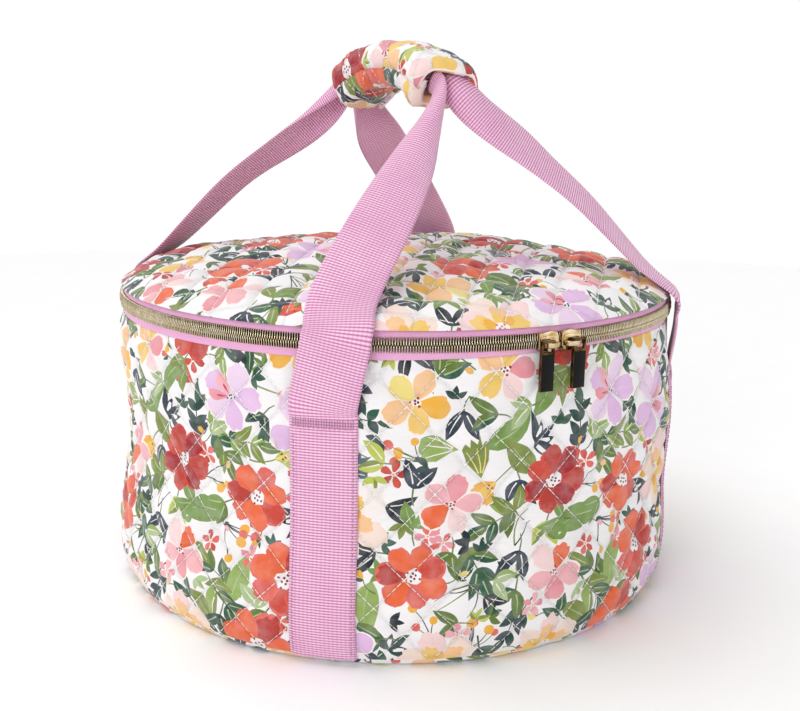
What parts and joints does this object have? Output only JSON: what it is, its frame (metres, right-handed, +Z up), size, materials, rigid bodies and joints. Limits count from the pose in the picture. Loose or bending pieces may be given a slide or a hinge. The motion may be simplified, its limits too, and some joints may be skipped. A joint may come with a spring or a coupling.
{
  "type": "knitting bag",
  "caption": "Round quilted fabric bag with a zipped hinged lid, webbing handles and a padded handle wrap, for carrying yarn and knitting.",
  "frame": {"origin": "centre of the flat base", "axes": "+Z up; -Y is the front, where the closed sliders meet; the lid's fabric hinge is at +Y; the handle wrap runs along Y"},
  "size_m": [0.3248, 0.3306, 0.309],
  "materials": {
    "quilted_print": "quilted cotton, floral print on white",
    "pink_webbing": "ribbed polyester webbing",
    "pink_tape": "woven zip tape",
    "pink_thread": "sewing thread",
    "white_thread": "quilting thread",
    "lining": "plain woven lining",
    "wadding": "polyester wadding",
    "hook_and_loop": "hook-and-loop tape",
    "base_board": "stiff board",
    "zip_teeth": "antique gold",
    "gold_metal": "polished gold",
    "black_enamel": "gloss"
  },
  "bodies": {
    "bag": {"base_panel": "quilted_print", "base_board": "base_board", "base_lining": "lining", "wall_outer": "quilted_print", "wall_wadding": "wadding", "wall_lining": "lining", "rim_binding": "pink_tape", "zip_tape_lower": "pink_tape", "zip_teeth_lower": "zip_teeth", "zip_end_stops": "gold_metal", "hinge_panel_lower": "quilted_print", "strap_tail_front_left": "pink_webbing", "strap_tail_front_right": "pink_webbing", "strap_tail_back_left": "pink_webbing", "strap_tail_back_right": "pink_webbing", "strap_tack_stitches": "pink_thread"},
    "lid": {"lid_outer": "quilted_print", "lid_wadding": "wadding", "lid_lining": "lining", "lid_binding": "pink_tape", "zip_tape_upper": "pink_tape", "zip_teeth_upper": "zip_teeth", "hinge_panel_upper": "quilted_print"},
    "slider_left": {"slider_left_body": "gold_metal", "slider_left_crown": "gold_metal"},
    "slider_right": {"slider_right_body": "gold_metal", "slider_right_crown": "gold_metal"},
    "pull_left": {"pull_left_frame": "gold_metal", "pull_left_inlay": "black_enamel"},
    "pull_right": {"pull_right_frame": "gold_metal", "pull_right_inlay": "black_enamel"},
    "handle_left": {"strap_front_left": "pink_webbing", "strap_back_left": "pink_webbing", "grip_left": "pink_webbing", "wrap_pad": "quilted_print", "wrap_hook_strip": "hook_and_loop"},
    "handle_right": {"strap_front_right": "pink_webbing", "strap_back_right": "pink_webbing", "grip_right": "pink_webbing"},
    "wrap_flap": {"wrap_flap": "quilted_print", "wrap_loop_strip": "hook_and_loop"}
  },
  "joints": [
    {"name": "lid_hinge", "type": "hinge", "parent": "bag", "child": "lid", "pos_m": [0, 0.162, 0.16445], "axis": [-1, 0, 0], "range_deg": [0, 180]},
    {"name": "handle_left_swing", "type": "hinge", "parent": "bag", "child": "handle_left", "pos_m": [-0.11512, 0, 0.129], "axis": [0, -1, 0], "range_deg": [0, 140], "deforming": ["strap_front_left", "strap_back_left", "wrap_pad", "wrap_hook_strip", "grip_left"]},
    {"name": "handle_right_swing", "type": "hinge", "parent": "bag", "child": "handle_right", "pos_m": [0.11512, 0, 0.129], "axis": [0, 1, 0], "range_deg": [0, 140], "deforming": ["strap_front_right", "strap_back_right", "grip_right"]},
    {"name": "wrap_flap_open", "type": "hinge", "parent": "handle_left", "child": "wrap_flap", "pos_m": [-0.015, 0, 0.297], "axis": [0, -1, 0], "range_deg": [0, 120], "deforming": ["wrap_flap", "wrap_loop_strip"]},
    {"name": "slider_left_travel", "type": "hinge", "parent": "bag", "child": "slider_left", "pos_m": [0, 0, 0.1644], "axis": [0, 0, -1], "range_deg": [0, 150]},
    {"name": "slider_right_travel", "type": "hinge", "parent": "bag", "child": "slider_right", "pos_m": [0, 0, 0.1644], "axis": [0, 0, 1], "range_deg": [0, 150]},
    {"name": "pull_left_swing", "type": "hinge", "parent": "slider_left", "child": "pull_left", "pos_m": [-0.02103, -0.16569, 0.1632], "axis": [-0.9939, 0.1099, 0], "range_deg": [0, 150]},
    {"name": "pull_right_swing", "type": "hinge", "parent": "slider_right", "child": "pull_right", "pos_m": [-0.00224, -0.16701, 0.1632], "axis": [-0.9996, 0.0296, 0], "range_deg": [0, 150]}
  ],
  "couplings": [
    {"joint": "handle_left_swing", "follows": "lid_hinge", "ratio": 0.7777},
    {"joint": "handle_right_swing", "follows": "lid_hinge", "ratio": 0.7777},
    {"joint": "wrap_flap_open", "follows": "lid_hinge", "ratio": 0.6666},
    {"joint": "slider_left_travel", "follows": "lid_hinge", "ratio": 0.8333},
    {"joint": "slider_right_travel", "follows": "lid_hinge", "ratio": 0.8333}
  ]
}
